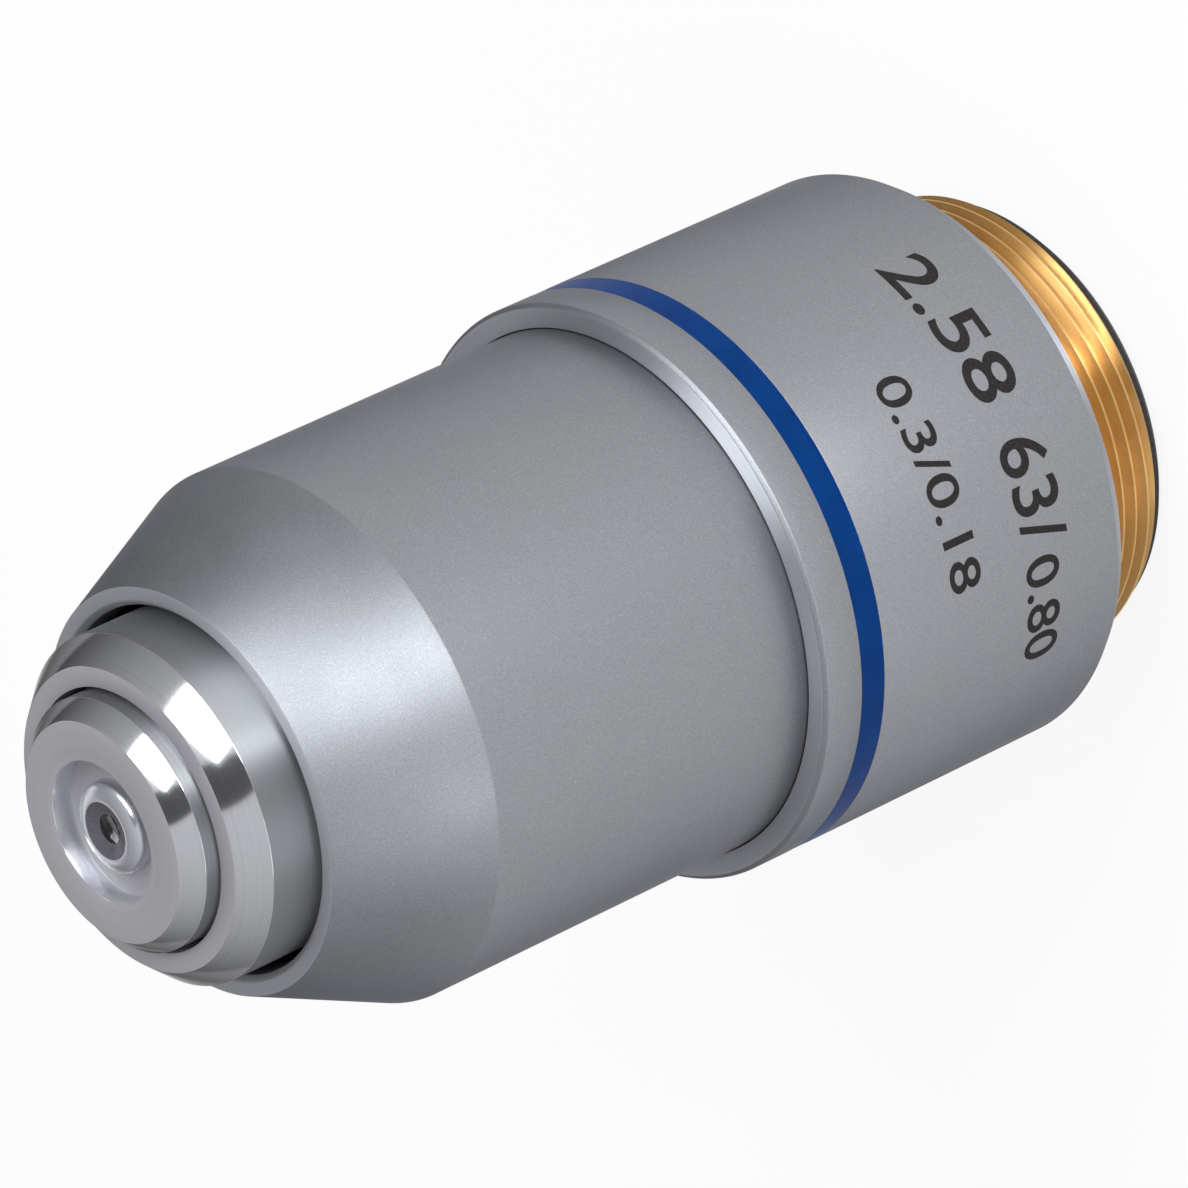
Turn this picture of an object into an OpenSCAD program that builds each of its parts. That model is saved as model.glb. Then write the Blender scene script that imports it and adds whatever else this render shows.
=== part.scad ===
// Spring-loaded microscope objective for a 160 mm tube, 63 times.
// Millimetres. The optical axis is Z and the nose points up. Z = 0 is the rear
// face of the end ring, on which the objective stands when it is unscrewed.
// The sprung lens barrel is drawn at rest, pushed forward against its stop.

/* [Mounting standard] */
// Major diameter of the mounting thread
thread_d = 20.24; // [19.8:0.02:20.4]
// Pitch of the mounting thread
thread_pitch = 0.7056; // [0.6:0.0001:0.8]
// Length of thread and end ring behind the mounting shoulder
thread_len = 5; // [4.4:0.1:7]
// Distance from the mounting shoulder to the specimen
parfocal = 45; // [42:0.1:60]
// Distance from the front face to the specimen
working_distance = 0.3; // [0.1:0.05:1]

/* [Front cell] */
// Diameter of the cup round the front lens
cup_d = 6.1; // [5:0.1:7]
// Depth of the cup
cup_depth = 0.97; // [0.7:0.01:1.2]
// Width of the flat land round the cup
face_land = 1.67; // [1:0.01:2.4]
// Width of the polished bevel of the front cell
cell_bevel_w = 0.71; // [0.3:0.01:1]
// Length of the polished bevel of the front cell
cell_bevel_len = 0.83; // [0.3:0.01:1.2]
// Diameter of the raised seat of the front lens
seat_d = 3.9; // [3.5:0.05:4.6]
// Depth of the shoulder of that seat below the front face
seat_set_back = 0.43; // [0.3:0.01:0.6]
// Depth of the edge of the front glass below the front face
glass_set_back = 0.2; // [0.1:0.01:0.28]
// Thickness of the flange that holds the front cell in the barrel
cell_flange_t = 1.8; // [1.2:0.1:2.4]

/* [Lens barrel] */
// Gap between the front cell and the ring round it
ring_gap = 0.21; // [0.1:0.01:0.4]
// Width of the flat land of the ring
ring_land = 0.86; // [0.5:0.02:1.2]
// Width of the polished bevel of the ring
ring_bevel_w = 1; // [0.5:0.02:1.3]
// Length of the polished bevel of the ring
ring_bevel_len = 1.15; // [0.5:0.05:1.5]
// Depth of the ring's flat land below the front face
ring_set_back = 1.38; // [1.1:0.02:1.7]
// Thickness of the lip behind the ring, on which the front cell hangs
barrel_lip_t = 1.8; // [1.6:0.1:2.2]
// Wall of the barrel
barrel_wall = 1.2; // [0.8:0.05:1.6]
// Height of the sliding flange above the barrel
flange_h = 1.75; // [1.5:0.05:2]
// Length of the sliding flange
flange_len = 4.5; // [4.2:0.1:6]
// Travel of the barrel when the nose is pushed in
travel = 2.2; // [1:0.1:2.4]
// Running clearance of the barrel in its two guides
guide_fit = 0.05; // [0.02:0.01:0.08]

/* [Front sleeve] */
// Depth of the flat nose face below the front face
nose_set_back = 4.5; // [4:0.1:4.8]
// Gap between the barrel and the hole in the nose
nose_gap = 0.37; // [0.3:0.01:0.6]
// Bevel at the mouth of that hole
nose_mouth = 0.25; // [0.1:0.01:0.4]
// Width of the flat nose face
nose_land = 0.6; // [0.4:0.02:0.9]
// Length of the cone
cone_len = 6.34; // [5:0.1:8]
// Length of the hole in the nose, in front of the guide bush
nose_hole_len = 4.7; // [4:0.1:5.2]
// Wall of the sleeve over the mount body
sleeve_wall = 0.88; // [0.6:0.02:1.4]
// Small bevel that breaks a turned edge
edge_break = 0.06; // [0.02:0.01:0.1]

/* [Rear sleeve] */
// Step from the front sleeve out to the rear sleeve
sleeve_step = 1.1; // [0.9:0.05:1.6]
// Length of the rear sleeve
rear_sleeve_len = 17.25; // [14:0.25:20]
// Bevel at the front edge of the rear sleeve
front_bevel = 0.16; // [0.05:0.01:0.3]
// Bevel at the rear edge of the rear sleeve
rear_bevel = 0.5; // [0.2:0.05:0.6]
// Step from the seating face to the end of the rear sleeve
rear_step = 0.2; // [0.1:0.05:0.4]
// Open seam round the front sleeve
seam_gap = 0.06; // [0.03:0.01:0.1]
// Thickness of the rib that is clamped under the front sleeve
rib_t = 1.5; // [1:0.1:2]
// Distance of the colour band behind the front edge
band_set_back = 2; // [1:0.1:4]
// Width of the colour band
band_w = 1.25; // [0.8:0.05:2]
// Depth of the groove that holds the colour band
band_depth = 0.25; // [0.15:0.01:0.4]

/* [Mount body] */
// Thickness of the flange that makes the mounting shoulder
mount_flange_t = 2; // [1.5:0.1:3]
// Wall of the rear sleeve's rim round that flange
rim_wall = 1.15; // [0.9:0.05:1.4]
// Length of the thread relief under the shoulder
relief_len = 0.6; // [0.4:0.05:1]
// Depth of that relief below the root of the thread
relief_depth = 0.05; // [0.03:0.01:0.1]
// Depth of the undercut in the shoulder's face, round the relief
undercut_depth = 0.1; // [0.05:0.01:0.2]
// Distance from the thread out to the seat of the shoulder
undercut_gap = 0.2; // [0.1:0.05:0.4]
// Wall of the mount body's tube
tube_wall = 1.3; // [1:0.05:1.6]
// Diameter of the light bore behind the barrel
light_bore_d = 15.8; // [14.8:0.1:16.2]
// Wall of the thread round the end ring's skirt
thread_wall = 0.95; // [0.7:0.05:1.1]

/* [Guide parts] */
// Wall of the front guide bush
bush_wall = 2.08; // [1.8:0.02:2.2]
// Length of the front guide bush
bush_len = 5; // [4:0.1:6]
// Space between the guide bush and the mount body's tube
bush_space = 2.3; // [1.5:0.1:3]
// Thickness of the ring that sets the parfocal distance
stop_ring_t = 2.1; // [1.6:0.1:2.6]
// Depth of that ring below the end of the tube
stop_ring_depth = 0.6; // [0.3:0.1:1]
// Diameter of a guide screw
guide_screw_d = 1.6; // [1.2:0.1:2]
// Diameter of a guide screw's dog point
dog_d = 1.1; // [0.8:0.1:1.2]
// Depth of the keyways in the sliding flange
keyway_depth = 1.05; // [0.8:0.05:1.3]
// Gap between a dog point and the floor of its keyway
dog_gap = 0.3; // [0.2:0.05:0.4]
// Number of guide screws
guide_screws_n = 3; // [2:1:4]

/* [Spring] */
// Wire diameter of the coil spring
wire_d = 0.7; // [0.5:0.05:0.8]
// Clearance between the spring and the barrel
spring_gap = 0.5; // [0.3:0.05:0.6]
// Number of turns, with the closed one at each end
spring_turns = 7.5; // [6:0.5:9]
// Thickness of the washer under the spring
washer_t = 0.5; // [0.3:0.1:0.8]
// Width by which that washer reaches inside the spring
washer_overlap = 0.1; // [0.05:0.05:0.2]
// Room behind the barrel when it is pushed fully in
end_room = 0.6; // [0.4:0.1:1]

/* [End ring] */
// Thickness of the black ring behind the thread
end_ring_t = 0.75; // [0.5:0.05:1]
// Bevel of the black ring
end_ring_bevel = 0.2; // [0.1:0.05:0.45]
// Length of the ring's skirt in the thread
skirt_len = 2.25; // [1.5:0.05:3]
// Wall of the ring's skirt
skirt_wall = 1.5; // [1:0.1:2]

/* [Front lens] */
// Diameter of the front glass that is open to the specimen
aperture_d = 2.44; // [2:0.02:2.8]
// Radius of the ball-like front lens
front_ball_r = 1.7; // [1.5:0.05:1.75]
// Radius of the hollow in its front
front_hollow_r = 2.6; // [2:0.1:5]

/* [Meniscus] */
// Air space in front of the meniscus lens
meniscus_air = 0.35; // [0.2:0.05:0.6]
// Diameter of the meniscus lens
meniscus_d = 6; // [5:0.1:6.4]
// Centre thickness of the meniscus lens
meniscus_t = 2.4; // [2:0.1:2.8]
// Radius of its hollow front
meniscus_front_r = 6; // [5:0.1:8]
// Radius of its domed rear
meniscus_rear_r = 4.2; // [3.8:0.1:5]

/* [Doublet] */
// Air space in front of the doublet
doublet_air = 0.3; // [0.2:0.05:0.6]
// Diameter of the doublet
doublet_d = 8.4; // [7.6:0.1:9]
// Centre thickness of the doublet's crown lens
doublet_crown_t = 3; // [2.8:0.1:3.4]
// Centre thickness of the doublet's flint lens
doublet_flint_t = 1.2; // [0.8:0.1:1.6]
// Radius of the doublet's front
doublet_front_r = 11; // [9:0.5:16]
// Radius of the doublet's cemented face
doublet_joint_r = 6.2; // [6:0.1:9]
// Radius of the doublet's hollow rear
doublet_rear_r = 16; // [12:0.5:24]

/* [Triplet] */
// Air space in front of the triplet
triplet_air = 2; // [1.8:0.1:3]
// Diameter of the triplet
triplet_d = 9; // [8:0.1:9.4]
// Centre thickness of the triplet's front lens
triplet_front_t = 2.6; // [2.4:0.1:3]
// Centre thickness of the triplet's middle lens
triplet_middle_t = 1.1; // [0.8:0.1:1.6]
// Centre thickness of the triplet's rear lens
triplet_rear_t = 2.8; // [2.6:0.1:3.2]
// Radius of the triplet's front
triplet_front_r = 16; // [12:0.5:24]
// Radius of both cemented faces of the triplet
triplet_joint_r = 8; // [7.6:0.1:12]
// Radius of the triplet's rear
triplet_rear_r = 14; // [12:0.5:24]

/* [Rear doublet] */
// Air space in front of the rear doublet
rear_air = 5.5; // [4.5:0.1:6.5]
// Diameter of the rear doublet
rear_lens_d = 7.6; // [6.6:0.1:8]
// Centre thickness of the rear crown lens
rear_crown_t = 3; // [2.4:0.1:3.6]
// Centre thickness of the rear flint lens
rear_flint_t = 1.4; // [1:0.1:2]
// Radius of the rear doublet's front
rear_front_r = 8; // [6.5:0.1:12]
// Radius of the rear doublet's cemented face
rear_joint_r = 20; // [14:0.5:30]
// Radius of the rear doublet's hollow rear
rear_hollow_r = 6.5; // [5.5:0.1:9]

/* [Lens cells] */
// Clearance of a slipped or screwed fit
slip = 0.02; // [0.01:0.005:0.03]
// Thickness of the lip in front of a lens
lip_t = 0.6; // [0.4:0.05:0.8]
// Width of the lip that a lens rests on
lip_w = 0.5; // [0.3:0.05:0.7]
// Width of the flat rim round a hollow lens face
lens_rim = 0.25; // [0.15:0.01:0.35]
// Wall of the meniscus cell inside the front cell
cell_wall = 1.18; // [0.8:0.02:1.3]
// Length of a cell behind the edge of its lens
cell_tail = 0.4; // [0.2:0.05:0.6]
// Thickness of a retaining ring
retainer_t = 1.2; // [0.8:0.1:1.6]
// Width by which a retaining ring stands outside its lens
retainer_step = 0.7; // [0.5:0.05:0.9]
// Depth of a retaining ring below the end of its cell
retainer_depth = 0.3; // [0.1:0.05:0.5]
// Thickness of the aperture stop
aperture_stop_t = 0.4; // [0.2:0.05:0.6]
// Diameter of the hole in the aperture stop
aperture_stop_d = 6.4; // [5:0.1:7]
// Wall of the spacers between the cells
spacer_wall = 1.3; // [0.8:0.05:1.6]
// Thickness of the ring that locks the cells in the barrel
lock_ring_t = 1.6; // [1.2:0.1:2]
// Width of a spanner slot
spanner_slot_w = 0.9; // [0.6:0.1:1.2]
// Depth of a spanner slot
spanner_slot_depth = 0.5; // [0.3:0.05:0.6]

/* [Hidden] */
$fn = 160;

// Room that the widest lens needs, with its retaining ring and a wall like a lip
widest_lens_d = max(meniscus_d, doublet_d, triplet_d, rear_lens_d);
least_stack_r = widest_lens_d / 2 + retainer_step + lip_t;

// Radii from the cup outwards. The barrel takes its ring or its widest lens, if that is wider
face_r = cup_d / 2 + face_land;
cell_r = face_r + cell_bevel_w;
ring_hole_r = cell_r + ring_gap;
barrel_r = max(ring_hole_r + ring_land + ring_bevel_w, least_stack_r + slip + barrel_wall);
ring_face_r = barrel_r - ring_bevel_w;
barrel_bore_r = barrel_r - barrel_wall;
stack_r = barrel_bore_r - slip;
flange_r = barrel_r + flange_h;
tube_bore_r = flange_r + guide_fit;
tube_r = tube_bore_r + tube_wall;
sleeve_r = tube_r + slip + sleeve_wall;
nose_hole_r = barrel_r + nose_gap;
nose_face_r = nose_hole_r + nose_mouth + nose_land;
bush_r = barrel_r + bush_wall;
rear_sleeve_r = sleeve_r + sleeve_step;
mount_flange_r = rear_sleeve_r - rim_wall;

// Mounting thread, its relief and the bores inside it
thread_r = thread_d / 2;
thread_depth = 0.64 * thread_pitch;
thread_root_r = thread_r - thread_depth;
relief_r = thread_root_r - relief_depth;
seat_inner_r = thread_r + undercut_gap;
skirt_bore_r = thread_root_r - thread_wall;
light_bore_r = light_bore_d / 2;

// Heights of the outside, from the mounting shoulder
shoulder_z = thread_len;
nose_z = shoulder_z + parfocal - working_distance;
ring_z = nose_z - ring_set_back;
nose_face_z = nose_z - nose_set_back;
cone_z = nose_face_z - cone_len;
rib_z = shoulder_z + mount_flange_t;
sleeve_rear_z = rib_z + rib_t;
rear_sleeve_z = shoulder_z + rear_sleeve_len;
band_top_z = rear_sleeve_z - band_set_back;
band_low_z = band_top_z - band_w;

// Heights of the guides, from the nose down
bush_seat_z = nose_face_z - nose_hole_len;
bush_rear_z = bush_seat_z - bush_len;
tube_top_z = bush_rear_z - bush_space;
stop_z = tube_top_z - stop_ring_depth - stop_ring_t;
flange_low_z = stop_z - flange_len;
guide_screw_z = flange_low_z + (flange_len - travel) / 2;

// Lenses, each from the back of the one before it
glass_z = nose_z - glass_set_back;
aperture_r = aperture_d / 2;
ball_z = glass_z - sqrt(pow(front_ball_r, 2) - pow(aperture_r, 2));
front_lens_rear_z = ball_z - front_ball_r;
meniscus_z = front_lens_rear_z - meniscus_air;
meniscus_rear_z = meniscus_z - meniscus_t;
doublet_z = meniscus_rear_z - doublet_air;
doublet_joint_z = doublet_z - doublet_crown_t;
doublet_rear_z = doublet_joint_z - doublet_flint_t;
triplet_z = doublet_rear_z - triplet_air;
triplet_joint_z = triplet_z - triplet_front_t;
triplet_joint_2_z = triplet_joint_z - triplet_middle_t;
triplet_rear_z = triplet_joint_2_z - triplet_rear_t;
rear_z = triplet_rear_z - rear_air;
rear_joint_z = rear_z - rear_crown_t;
rear_end_z = rear_joint_z - rear_flint_t;

// Seats: a domed face meets the edge of its lip, a hollow one its flat rim
function sag(radius, at_r) = radius - sqrt(radius * radius - at_r * at_r);
function dome_seat(z, radius, d) = z - sag(radius, d / 2 - lip_w);
function hollow_seat(z, radius, d) = z + sag(radius, d / 2 - lens_rim);
meniscus_seat_z = hollow_seat(meniscus_z, meniscus_front_r, meniscus_d);
doublet_seat_z = dome_seat(doublet_z, doublet_front_r, doublet_d);
doublet_edge_z = doublet_rear_z - sag(doublet_rear_r, doublet_d / 2 - lens_rim);
triplet_seat_z = dome_seat(triplet_z, triplet_front_r, triplet_d);
triplet_retainer_z = triplet_rear_z + sag(triplet_rear_r, triplet_d / 2 - lip_w);
rear_seat_z = dome_seat(rear_z, rear_front_r, rear_lens_d);
rear_edge_z = rear_end_z - sag(rear_hollow_r, rear_lens_d / 2 - lens_rim);

// Ends of the cells in the barrel, from the lip of the barrel down
barrel_lip_z = ring_z - barrel_lip_t;
cell_flange_z = barrel_lip_z - cell_flange_t;
meniscus_cell_top_z = meniscus_seat_z + lip_t / 2;
meniscus_cell_r = meniscus_d / 2 + cell_wall;
doublet_cell_top_z = doublet_seat_z + lip_t;
doublet_cell_low_z = doublet_edge_z - cell_tail;
triplet_cell_top_z = triplet_seat_z + lip_t;
triplet_cell_low_z = triplet_retainer_z - retainer_t - retainer_depth;
aperture_stop_z = triplet_cell_low_z - aperture_stop_t;
rear_cell_top_z = rear_seat_z + lip_t;
rear_cell_low_z = rear_edge_z - retainer_t - retainer_depth;
lock_ring_low_z = rear_cell_low_z - lock_ring_t;
barrel_end_z = lock_ring_low_z - retainer_depth;

// Spring between its washer and the sliding flange
washer_z = barrel_end_z - travel - end_room;
ledge_z = washer_z - washer_t;
spring_r = barrel_r + spring_gap + wire_d / 2;
spring_low_z = washer_z + wire_d / 2;
spring_top_z = flange_low_z - guide_fit - wire_d / 2;
spring_closed_pitch = 1.06 * wire_d;
spring_open_pitch = (spring_top_z - spring_low_z - 2 * spring_closed_pitch) / (spring_turns - 2);
spring_steps = 24;
spring_sides = 8;

// Length by which a cutting body passes the face that it cuts
cut = 1;

// Finishes
satin_chrome = [0.66, 0.67, 0.70];
polished_chrome = [0.80, 0.81, 0.84];
bare_brass = [0.80, 0.58, 0.24];
black_paint = [0.10, 0.10, 0.10];
steel = [0.55, 0.56, 0.58];
blue_enamel = [0.02, 0.26, 0.58];
crown_glass = [0.78, 0.88, 0.92, 0.5];
flint_glass = [0.70, 0.84, 0.80, 0.5];

// A body turned from a profile of [radius, height] points
module turned(profile) {
    rotate_extrude() polygon(profile);
}

module ring(outer_r, inner_r, low_z, top_z) {
    turned([[inner_r, low_z], [outer_r, low_z], [outer_r, top_z], [inner_r, top_z]]);
}

// Two slots across the face of a screwed ring, for a pin spanner
module spanner_slots(outer_r, face_z) {
    translate([0, 0, face_z])
        cube([2 * outer_r + cut, spanner_slot_w, 2 * spanner_slot_depth], center = true);
}

module ball(z, radius) {
    translate([0, 0, z]) sphere(r = radius);
}

// Trims its children to a dome. A radius of zero or less leaves them as they are
module domed(z, radius) {
    if (radius > 0) {
        intersection() {
            children();
            ball(z, radius);
        }
    } else {
        children();
    }
}

// A lens from its front vertex down to its rear vertex.
// A positive radius is a dome and a negative one is a hollow.
module lens(front_z, rear_vertex_z, d, front_r, rear_r) {
    top_z = front_r > 0 ? front_z + cut : front_z + sag(-front_r, d / 2 - lens_rim);
    low_z = rear_r > 0 ? rear_vertex_z - cut : rear_vertex_z - sag(-rear_r, d / 2 - lens_rim);
    difference() {
        domed(front_z - front_r, front_r)
            domed(rear_vertex_z + rear_r, rear_r)
                translate([0, 0, low_z]) cylinder(d = d, h = top_z - low_z);
        if (front_r < 0) ball(front_z - front_r, -front_r);
        if (rear_r < 0) ball(rear_vertex_z + rear_r, -rear_r);
    }
}

// A cell with a front lip, a bore for its lens and a wider bore for a retainer
module lens_cell(top_z, low_z, seat_z, lens_d, retainer_z) {
    bore_r = lens_d / 2 + slip;
    wide_r = lens_d / 2 + retainer_step;
    turned([[lens_d / 2 - lip_w, seat_z], [lens_d / 2 - lip_w, top_z], [stack_r, top_z],
            [stack_r, low_z], [wide_r, low_z], [wide_r, retainer_z], [bore_r, retainer_z],
            [bore_r, seat_z]]);
}

// A screwed ring behind a lens
module retainer(face_z, lens_d) {
    difference() {
        ring(lens_d / 2 + retainer_step - slip, lens_d / 2 - lip_w, face_z - retainer_t, face_z);
        spanner_slots(lens_d / 2 + retainer_step, face_z - retainer_t);
    }
}

// Places its children at each guide screw, with X along the screw
module at_guide_screws() {
    for (i = [0 : guide_screws_n - 1])
        rotate([0, 0, i * 360 / guide_screws_n])
            translate([0, 0, guide_screw_z]) children();
}

// A rod along X, from one radius of the objective to another
module radial_rod(d, from_r, to_r) {
    translate([from_r, 0, 0]) rotate([0, 90, 0]) cylinder(d = d, h = to_r - from_r, $fn = 48);
}

module mount_body() {
    thread_low_z = end_ring_t;
    skirt_top_z = end_ring_t + skirt_len;
    color(bare_brass)
    difference() {
        turned([[skirt_bore_r, thread_low_z], [thread_root_r, thread_low_z],
                [thread_r, thread_low_z + thread_depth], [thread_r, shoulder_z - relief_len],
                [relief_r, shoulder_z - relief_len], [relief_r, shoulder_z + undercut_depth],
                [seat_inner_r, shoulder_z + undercut_depth], [seat_inner_r, shoulder_z],
                [mount_flange_r, shoulder_z], [mount_flange_r, rib_z],
                [tube_r, rib_z], [tube_r, tube_top_z],
                [tube_bore_r, tube_top_z], [tube_bore_r, ledge_z],
                [light_bore_r, ledge_z], [light_bore_r, skirt_top_z],
                [skirt_bore_r, skirt_top_z]]);
        at_guide_screws() radial_rod(guide_screw_d, tube_bore_r - cut, tube_r + cut);
    }
}

module rear_sleeve() {
    rear_end_z = shoulder_z + rear_step;
    groove_r = rear_sleeve_r - band_depth;
    seam_r = sleeve_r + seam_gap;
    color(satin_chrome)
    turned([[mount_flange_r + slip, rear_end_z], [rear_sleeve_r - rear_bevel, rear_end_z],
            [rear_sleeve_r, rear_end_z + rear_bevel],
            [rear_sleeve_r, band_low_z], [groove_r, band_low_z],
            [groove_r, band_top_z], [rear_sleeve_r, band_top_z],
            [rear_sleeve_r, rear_sleeve_z - front_bevel],
            [rear_sleeve_r - front_bevel, rear_sleeve_z],
            [seam_r + edge_break, rear_sleeve_z], [seam_r, rear_sleeve_z - edge_break],
            [seam_r, sleeve_rear_z], [tube_r + slip, sleeve_rear_z],
            [tube_r + slip, rib_z], [mount_flange_r + slip, rib_z]]);
}

module colour_band() {
    color(blue_enamel)
    ring(rear_sleeve_r, rear_sleeve_r - band_depth, band_low_z, band_top_z);
}

module front_sleeve() {
    pocket_r = bush_r + slip;
    thread_bore_r = tube_r + slip;
    thread_top_z = tube_top_z + stop_ring_depth;
    color(satin_chrome)
    turned([[thread_bore_r, sleeve_rear_z], [sleeve_r - edge_break, sleeve_rear_z],
            [sleeve_r, sleeve_rear_z + edge_break], [sleeve_r, cone_z],
            [nose_face_r, nose_face_z - edge_break], [nose_face_r - edge_break, nose_face_z],
            [nose_hole_r + nose_mouth, nose_face_z], [nose_hole_r, nose_face_z - nose_mouth],
            [nose_hole_r, bush_seat_z], [pocket_r, bush_seat_z],
            [pocket_r, thread_top_z], [thread_bore_r, thread_top_z]]);
}

module guide_bush() {
    color(black_paint)
    difference() {
        ring(bush_r, barrel_r + guide_fit, bush_rear_z, bush_seat_z);
        spanner_slots(bush_r, bush_rear_z);
    }
}

module parfocal_ring() {
    color(bare_brass)
    difference() {
        ring(tube_bore_r - slip, barrel_r + spring_gap, stop_z, stop_z + stop_ring_t);
        spanner_slots(tube_bore_r, stop_z + stop_ring_t);
    }
}

// Slotted screws through the tube. Their dog points run in the barrel's keyways
module guide_screws() {
    head_r = tube_r - edge_break;
    slot_w = guide_screw_d / 5;
    color(steel)
    at_guide_screws() {
        difference() {
            radial_rod(guide_screw_d, tube_bore_r, head_r);
            translate([head_r, 0, 0]) cube([wire_d, slot_w, 2 * guide_screw_d], center = true);
        }
        radial_rod(dog_d, flange_r - keyway_depth + dog_gap, tube_bore_r);
    }
}

module spring_washer() {
    color(steel)
    ring(tube_bore_r - slip, barrel_r + spring_gap - washer_overlap, ledge_z, washer_z);
}

// Height of the wire's centre after a number of turns, with closed end turns
function spring_wire_z(turn) =
    turn < 1 ? spring_low_z + turn * spring_closed_pitch :
    turn < spring_turns - 1 ? spring_low_z + spring_closed_pitch + (turn - 1) * spring_open_pitch :
    spring_top_z - (spring_turns - turn) * spring_closed_pitch;

// A point on the wire's skin, after a number of turns and sides
function spring_point(turn, side) =
    let (around = side * 360 / spring_sides,
         r = spring_r + wire_d / 2 * cos(around),
         z = spring_wire_z(turn) + wire_d / 2 * sin(around))
    [r * cos(turn * 360), r * sin(turn * 360), z];

module coil_spring() {
    rings = spring_turns * spring_steps;
    points = [for (i = [0 : rings]) for (j = [0 : spring_sides - 1])
              spring_point(i / spring_steps, j)];
    skin = [for (i = [0 : rings - 1]) for (j = [0 : spring_sides - 1])
            let (k = (j + 1) % spring_sides, a = i * spring_sides, b = a + spring_sides)
            each [[a + j, a + k, b + j], [a + k, b + k, b + j]]];
    ends = [[for (j = [spring_sides - 1 : -1 : 0]) j],
            [for (j = [0 : spring_sides - 1]) rings * spring_sides + j]];
    color(steel)
    polyhedron(points, concat(skin, ends), convexity = 10);
}

module end_ring() {
    flange_edge_r = thread_root_r - slip;
    skirt_r = skirt_bore_r - slip;
    color(black_paint)
    difference() {
        turned([[skirt_r - skirt_wall, 0], [flange_edge_r - end_ring_bevel, 0],
                [flange_edge_r, end_ring_bevel], [flange_edge_r, end_ring_t],
                [skirt_r, end_ring_t], [skirt_r, end_ring_t + skirt_len],
                [skirt_r - skirt_wall, end_ring_t + skirt_len]]);
        spanner_slots(flange_edge_r, 0);
    }
}

module lens_barrel() {
    keyway_w = dog_d + 2 * guide_fit;
    color(satin_chrome)
    difference() {
        turned([[barrel_bore_r, barrel_end_z], [barrel_r, barrel_end_z],
                [barrel_r, flange_low_z], [flange_r, flange_low_z],
                [flange_r, stop_z], [barrel_r, stop_z],
                [barrel_r, ring_z - ring_bevel_len], [ring_face_r, ring_z],
                [ring_hole_r, ring_z], [ring_hole_r, barrel_lip_z],
                [barrel_bore_r, barrel_lip_z]]);
        at_guide_screws()
            translate([flange_r, 0, 0])
                cube([2 * keyway_depth, keyway_w, 2 * flange_len + cut], center = true);
    }
}

// The front glass is cemented into a ball seat that opens through the raised seat
module front_cell() {
    seat_r = seat_d / 2;
    cup_r = cup_d / 2;
    floor_z = nose_z - cup_depth;
    nose_bore_r = meniscus_cell_r + slip;
    bore_top_z = meniscus_cell_top_z + slip;
    color(polished_chrome)
    difference() {
        turned([[nose_bore_r, cell_flange_z], [stack_r, cell_flange_z],
                [stack_r, barrel_lip_z], [cell_r, barrel_lip_z],
                [cell_r, nose_z - cell_bevel_len], [face_r, nose_z],
                [cup_r, nose_z], [cup_r, floor_z],
                [seat_r, floor_z], [seat_r, nose_z - seat_set_back - edge_break],
                [seat_r - edge_break, nose_z - seat_set_back],
                [aperture_r, glass_z], [0, glass_z],
                [0, bore_top_z], [nose_bore_r, bore_top_z]]);
        ball(ball_z, front_ball_r);
        translate([0, 0, bore_top_z - cut])
            cylinder(r = front_ball_r, h = ball_z - bore_top_z + cut);
    }
}

module front_lens() {
    hollow_z = glass_z + sqrt(pow(front_hollow_r, 2) - pow(aperture_r, 2));
    color(crown_glass)
    difference() {
        intersection() {
            ball(ball_z, front_ball_r);
            translate([0, 0, front_lens_rear_z - cut])
                cylinder(r = front_ball_r + cut, h = glass_z - front_lens_rear_z + cut);
        }
        ball(hollow_z, front_hollow_r);
    }
}

module meniscus_cell() {
    bore_r = meniscus_d / 2 + slip;
    mouth_r = doublet_d / 2;
    bore_low_z = meniscus_rear_z + sag(meniscus_rear_r, meniscus_d / 2) - cell_tail;
    color(black_paint)
    turned([[meniscus_d / 2 - lip_w, meniscus_seat_z], [meniscus_d / 2 - lip_w, meniscus_cell_top_z],
            [meniscus_cell_r, meniscus_cell_top_z], [meniscus_cell_r, cell_flange_z],
            [stack_r, cell_flange_z], [stack_r, doublet_cell_top_z],
            [mouth_r, doublet_cell_top_z], [bore_r, bore_low_z], [bore_r, meniscus_seat_z]]);
}

module meniscus_lens() {
    color(crown_glass)
    lens(meniscus_z, meniscus_rear_z, meniscus_d, -meniscus_front_r, meniscus_rear_r);
}

module doublet_cell() {
    color(bare_brass)
    ring_cell(doublet_cell_top_z, doublet_cell_low_z, doublet_seat_z, doublet_d);
}

// A cell whose lens is burnished in, with no retaining ring
module ring_cell(top_z, low_z, seat_z, lens_d) {
    bore_r = lens_d / 2 + slip;
    turned([[lens_d / 2 - lip_w, seat_z], [lens_d / 2 - lip_w, top_z], [stack_r, top_z],
            [stack_r, low_z], [bore_r, low_z], [bore_r, seat_z]]);
}

module doublet_crown() {
    color(crown_glass)
    lens(doublet_z, doublet_joint_z, doublet_d, doublet_front_r, doublet_joint_r);
}

module doublet_flint() {
    color(flint_glass)
    lens(doublet_joint_z, doublet_rear_z, doublet_d, -doublet_joint_r, -doublet_rear_r);
}

module spacer_ring() {
    color(black_paint)
    ring(stack_r, stack_r - spacer_wall, triplet_cell_top_z, doublet_cell_low_z);
}

module triplet_cell() {
    color(bare_brass)
    lens_cell(triplet_cell_top_z, triplet_cell_low_z, triplet_seat_z, triplet_d,
              triplet_retainer_z);
}

module triplet_front() {
    color(crown_glass)
    lens(triplet_z, triplet_joint_z, triplet_d, triplet_front_r, triplet_joint_r);
}

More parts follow.
